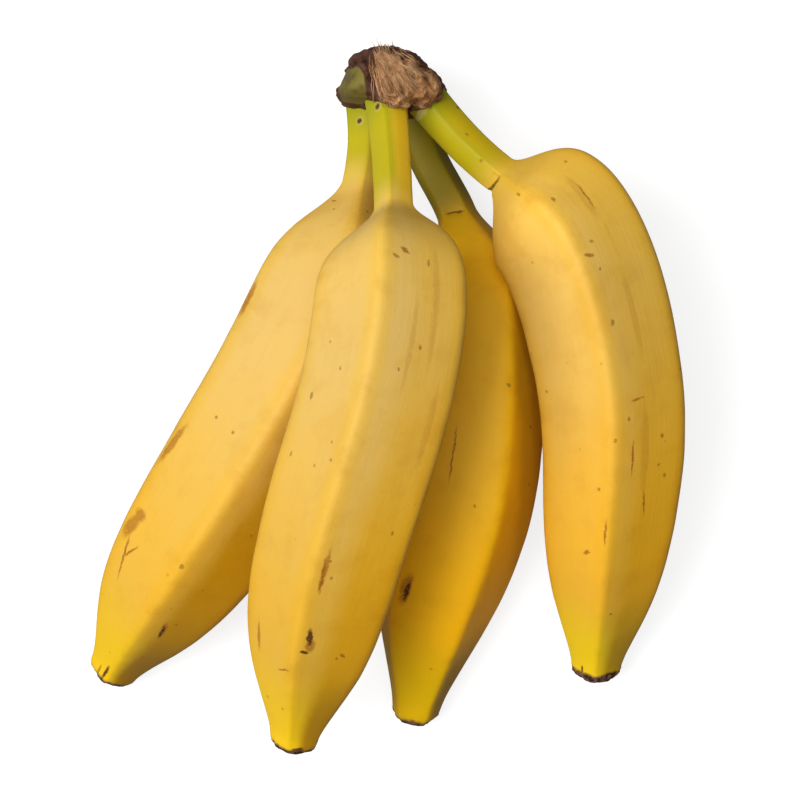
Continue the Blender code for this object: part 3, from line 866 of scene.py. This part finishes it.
def frayed(finish, where, uv):
    """The skin map with a small random shift, which frays the edges of what is painted on it."""
    wander = finish.noise(where, *FRAY, output=1)
    wander = finish.add("ShaderNodeVectorMath", {"operation": "SUBTRACT"}, {0: wander, 1: (0.5, 0.5, 0.5)})
    wander = finish.add("ShaderNodeVectorMath", {"operation": "SCALE"}, {0: wander, "Scale": FRAYED_BY})
    return finish.add("ShaderNodeVectorMath", {"operation": "ADD"}, {0: uv, 1: wander})


def peel_finish(name, fruit, skin, looks):
    """Waxy peel: straw yellow at the shoulders and golden below, green toward both ends, with rubbed ridges,
    faint streaks, specks, marks, and the dark dried blossom end. Some of it is painted light and shade: part
    of the shoulders' paleness, a lighter band below the neck, deeper yellow ridges, darker peel on the side
    away from the light, and on the back fruit a brighter peel with a darker stalk and tip."""
    finish = Finish(name, Roughness=looks.roughness, IOR=1.45, Specular_IOR_Level=0.20)
    where, uv = finish.place(), finish.skin()
    across = finish.add("ShaderNodeSeparateXYZ", None, {0: uv})
    along = finish.add("ShaderNodeSeparateXYZ", None, {0: uv}, 1)
    length, neck = skin["length"], skin["neck"]
    broad = finish.noise(where, *BROAD)
    medium = finish.noise(where, *MEDIUM)
    blotches = finish.noise(where, *BLOTCHES)
    streaks = finish.noise(finish.stretched(uv, STREAK_SCALE), *STREAKS)
    ridge = finish.attribute("ridge")
    # Mottled peel of the body, paler toward the neck partly as a painted sheen, with painted shade along the
    # ridges
    body = finish.eased(along + broad * 0.03, *(length * part for part in BODY_BAND))
    tone = finish.mixed(looks.shoulder, looks.belly, body)
    tone = finish.tinted(tone, RIPE_PATCH, finish.eased(broad, 0.42, 0.72) * 0.35)
    tone = finish.tinted(tone, DULL_PATCH, finish.eased(medium, 0.48, 0.75) * 0.55)
    tone = finish.tinted(tone, DULL_BLOTCH, finish.eased(blotches, 0.50, 0.66) * (1 - body) * 0.6)
    tone = finish.tinted(tone, DULL_STREAK, finish.eased(streaks, 0.50, 0.85) * 0.30)
    # Painted shade: a deeper, less pale yellow along the ridges, where the faces turn from the light
    tone = finish.tinted(tone, RIDGE_SHADE_TINT, finish.eased(ridge, 0.35, 0.85) * 0.6)
    # Stalk and neck, and painted light on the shoulder below the neck
    stem = finish.eased(along + medium * 0.008, *(neck + reach for reach in STEM_BAND))
    shoulder_light = finish.eased(along, *(neck + reach for reach in SHOULDER_LIGHT_BAND)) * (1 - stem)
    tone = finish.tinted(tone, SHOULDER_LIGHT_TINT, shoulder_light)
    tone = finish.mixed(tone, looks.stalk, stem)
    tone = finish.mixed(tone, looks.warm, finish.eased(across, *SUNNY_BAND) * stem * fruit["sunny_stalk"])
    tone = finish.mixed(tone, looks.root, finish.eased(along + medium * 0.008, *ROOT_BAND))
    # Tip, ridges and the fruit's own tints, some of them painted light and shade
    tip = finish.eased(along + medium * 0.006, *(length + reach for reach in TIP_BAND))
    # On the back fruit the tip's tint is painted shade
    tone = finish.mixed(tone, [c * shade for c, shade in zip(looks.tip, fruit["tip_tint_and_shade"])], tip * 0.85)
    rubbed = finish.eased(ridge, 0.72, 1.0) * finish.eased(medium, 0.40, 0.75)
    tone = finish.mixed(tone, looks.bruise, rubbed * 0.12)
    # On the back fruit this tint is painted light, and the stalk's tint below is painted shade
    tone = finish.tinted(tone, fruit["tint"])
    in_shade = finish.eased(along, *(neck + reach for reach in STALK_SHADE_BAND))
    tone = finish.tinted(tone, fruit["stalk_tint_and_shade"], in_shade)
    # Painted shade: darker, deeper yellow peel on the side away from the light, more so lower down, darkest
    # at the tip
    arc, share, side_shade_tint = fruit["side_shade"]
    lower = finish.eased(along, *(length * part for part in LOWER_BAND))
    shaded_side = finish.eased(across + medium * 0.003, arc * MM, arc * MM + SIDE_SOFTNESS)
    tone = finish.tinted(tone, side_shade_tint, shaded_side * share * (0.5 + 0.5 * lower))
    tone = finish.tinted(tone, PAINTED_TIP_SHADE, shaded_side * tip * 0.8)
    # Specks, marks and the blossom end
    speckled = specks(finish, where)
    tone = finish.mixed(tone, looks.bruise, speckled * 0.75)
    rough = speckled * 0.4
    torn, broken = frayed(finish, where, uv), finish.eased(finish.noise(where, *FINE), 0.28, 0.44)
    for kinds, setting, share in MARK_LAYERS:
        mask = finish.marked(torn, fruit["marks"], kinds)
        if mask:
            mask = mask * broken
            tone = finish.mixed(tone, getattr(looks, setting), mask * share)
            if "scab" in kinds:
                rough = rough + mask
    scar = finish.attribute("scar")
    crust = finish.mixed(looks.blossom, RED_CRUST, finish.eased(finish.noise(where, *CRUST), 0.4, 0.6))
    finish.feed("Base Color", finish.mixed(tone, crust, scar))
    finish.feed("Roughness", looks.roughness + medium * 0.10 + scar * 0.35 + rough * 0.25)
    height = finish.noise(where, *PORES) * 0.5 + streaks * 0.8 + medium * 1.2 + rough * 1.5
    finish.feed("Normal", finish.bumped(height, PEEL_BUMP, 0.6))
    return finish.material


def cork_finish(name, looks):
    """Dry torn stem: a tan face with a pale lower lip, purple-brown skin round it, and one smooth olive-green
    side. Its deep parts get painted shade, dark brown in the hollows."""
    finish = Finish(name, Roughness=0.88, Specular_IOR_Level=0.25)
    where = finish.place()
    grain = finish.noise(finish.stretched(where, TORN_GRAIN_SCALE), *TORN_GRAIN)
    broad = finish.noise(where, *CORK_BROAD)
    fine = finish.noise(where, *CORK_FINE)
    tone = finish.mixed(looks.purple, looks.dark_cork_and_shade, finish.eased(broad, 0.42, 0.62))
    torn = finish.mixed(looks.cork, looks.dark_cork_and_shade, finish.eased(broad, 0.50, 0.70) * 0.7)
    torn = finish.mixed(torn, looks.fibre, finish.eased(grain, 0.46, 0.66) * 0.6)
    torn = finish.mixed(torn, looks.dark_cork_and_shade, finish.eased(fine, 0.54, 0.70) * 0.75)
    tone = finish.mixed(tone, torn, finish.attribute("face"))
    # Painted shade: dark brown in the deep hollows of the torn face
    tone = finish.mixed(tone, looks.dark_cork_and_shade, finish.attribute("deep_shade") * finish.eased(grain, 0.62, 0.40) * 0.9)
    tone = finish.mixed(tone, looks.fibre, finish.attribute("lip") * finish.eased(fine, 0.60, 0.40) * 0.7)
    inside = finish.attribute("cut")
    pinholes = finish.eased(finish.cells(where, PINHOLE_CELLS), 0.20, 0.08) * finish.eased(broad, 0.45, 0.52)
    green = finish.mixed(looks.green, DARK_GREEN, finish.eased(finish.noise(where, *CORK_GREEN), 0.40, 0.70))
    green = finish.mixed(green, PINHOLE, pinholes)
    finish.feed("Base Color", finish.mixed(tone, green, finish.eased(inside, 0.45, 0.85)))
    finish.feed("Roughness", 0.9 - inside * 0.3)
    finish.feed("Normal", finish.bumped((grain * 1.0 + fine * 0.9) * (1 - inside * 0.8), CORK_BUMP, 1.0))
    return finish.material


def fibre_finish(name, looks):
    """Dry straw-coloured strands, each a little darker or lighter than the next."""
    finish = Finish(name, Roughness=0.75)
    tone = finish.attribute("tone")
    finish.feed("Base Color", finish.mixed(looks.cork, looks.fibre, tone))
    return finish.material


def floor_finish(name, looks):
    """Matt table top over a light box. Its glow is seen, and doesn't light the fruit from below."""
    finish = Finish(name, Base_Color=(*looks.floor, 1.0), Roughness=0.9, Emission_Strength=looks.glow)
    seen = finish.add("ShaderNodeLightPath", output="Is Camera Ray")
    finish.feed("Emission Color", finish.mixed((0.0, 0.0, 0.0), (1.0, 1.0, 1.0), seen))
    return finish.material


# ---------------------------------------------------------------- operators

class BANANAS_OT_fruit(bpy.types.Operator):
    """Adds the four fruit, each with its stalk and blossom end"""
    bl_idname = "bananas.fruit"
    bl_label = "Fruit"

    def execute(self, context):
        looks = context.scene.banana_peel
        home = bunch_home()
        for node, fruit in FRUIT.items():
            skin = fruit_skin(fruit)
            name = "peel_of_" + node
            mesh = grid_mesh(name, skin["points"] + home, skin["uv"], ridge=skin["ridge"], scar=skin["scar"])
            add_piece(name, mesh, peel_finish("peel_" + node, fruit, skin, looks), PEEL_SLOT, node)
        return {"FINISHED"}


class BANANAS_OT_crown(bpy.types.Operator):
    """Adds the torn crown that holds the stalks"""
    bl_idname = "bananas.crown"
    bl_label = "Crown"

    def execute(self, context):
        points, parts = crown_skin()
        mesh = grid_mesh("torn_crown", points, **parts)
        add_piece("torn_crown", mesh, cork_finish("cork", context.scene.banana_crown), STEM_SLOT, "crown")
        return {"FINISHED"}


class BANANAS_OT_fibres(bpy.types.Operator):
    """Adds the loose fibres on the crown's torn face"""
    bl_idname = "bananas.fibres"
    bl_label = "Fibres"

    def execute(self, context):
        mesh = fibre_mesh("loose_fibres")
        add_piece("loose_fibres", mesh, fibre_finish("fibre", context.scene.banana_crown), STEM_SLOT)
        return {"FINISHED"}


class BANANAS_OT_stage(bpy.types.Operator):
    """Adds the table top, the soft lights and the camera above the bunch"""
    bl_idname = "bananas.stage"
    bl_label = "Stage"

    def execute(self, context):
        looks = context.scene.banana_stage
        scene = context.scene
        mesh = bpy.data.meshes.new("table_top")
        corners = [(x * TABLE_HALF, y * TABLE_HALF, 0) for x, y in ((-1, -1), (1, -1), (1, 1), (-1, 1))]
        mesh.from_pydata(corners, [], [(0, 1, 2, 3)])
        mesh.materials.append(floor_finish("table", looks))
        floor = bpy.data.objects.new("table_top", mesh)
        scene.collection.objects.link(floor)
        floor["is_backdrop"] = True
        world = bpy.data.worlds.new("studio")
        world.use_nodes = True
        background = world.node_tree.nodes["Background"]
        background.inputs["Color"].default_value = (1.0, 1.0, 1.0, 1.0)
        background.inputs["Strength"].default_value = looks.fill
        scene.world = world
        self.soft_light(scene, "key", *KEY_LIGHT, looks.key)
        self.soft_light(scene, "top", *TOP_LIGHT, looks.top)
        data = bpy.data.cameras.new("camera")
        data.lens = looks.lens
        data.sensor_width = 36.0
        data.clip_start = 0.05
        data.clip_end = 20.0
        camera = bpy.data.objects.new("camera", data)
        camera.location = (*CAMERA_OVER, looks.distance)
        scene.collection.objects.link(camera)
        scene.camera = camera
        scene.view_settings.view_transform = "Standard"
        return {"FINISHED"}

    def soft_light(self, scene, name, place, size, power):
        """Square soft light that looks at the middle of the bunch."""
        data = bpy.data.lights.new(name, "AREA")
        data.size = size
        data.energy = power
        light = bpy.data.objects.new(name, data)
        light.visible_camera = False
        low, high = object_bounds()
        middle = (low + high) / 2
        light.location = place
        light.rotation_euler = (middle - light.location).to_track_quat("-Z", "Y").to_euler()
        scene.collection.objects.link(light)


class BANANAS_PT_panel(bpy.types.Panel):
    """Lists the settings and the pieces of the bunch"""
    bl_label = "Banana bunch"
    bl_idname = "BANANAS_PT_panel"
    bl_space_type = "VIEW_3D"
    bl_region_type = "UI"
    bl_category = "Bananas"

    def draw(self, context):
        for group, operators in PANEL_ROWS:
            box = self.layout.box()
            settings = getattr(context.scene, group)
            for label in settings.bl_rna.properties.keys():
                if label not in ("rna_type", "name"):
                    box.prop(settings, label)
            for operator in operators:
                box.operator(operator)


PANEL_ROWS = [("banana_peel", ["bananas.fruit"]),
              ("banana_crown", ["bananas.crown", "bananas.fibres"]),
              ("banana_stage", ["bananas.stage"])]
GROUPS = {"banana_peel": PeelSettings, "banana_crown": CrownSettings, "banana_stage": StageSettings}
CLASSES = [*GROUPS.values(), BANANAS_OT_fruit, BANANAS_OT_crown, BANANAS_OT_fibres, BANANAS_OT_stage,
           BANANAS_PT_panel]


def register():
    for made in CLASSES:
        bpy.utils.register_class(made)
    for name, group in GROUPS.items():
        setattr(bpy.types.Scene, name, bpy.props.PointerProperty(type=group))


def unregister():
    for name in GROUPS:
        delattr(bpy.types.Scene, name)
    for made in reversed(CLASSES):
        bpy.utils.unregister_class(made)


def main():
    """Builds everything in order."""
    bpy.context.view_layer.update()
    register()
    bpy.ops.bananas.fruit()
    bpy.ops.bananas.crown()
    bpy.ops.bananas.fibres()
    bpy.ops.bananas.stage()


if __name__ == "__main__":
    main()
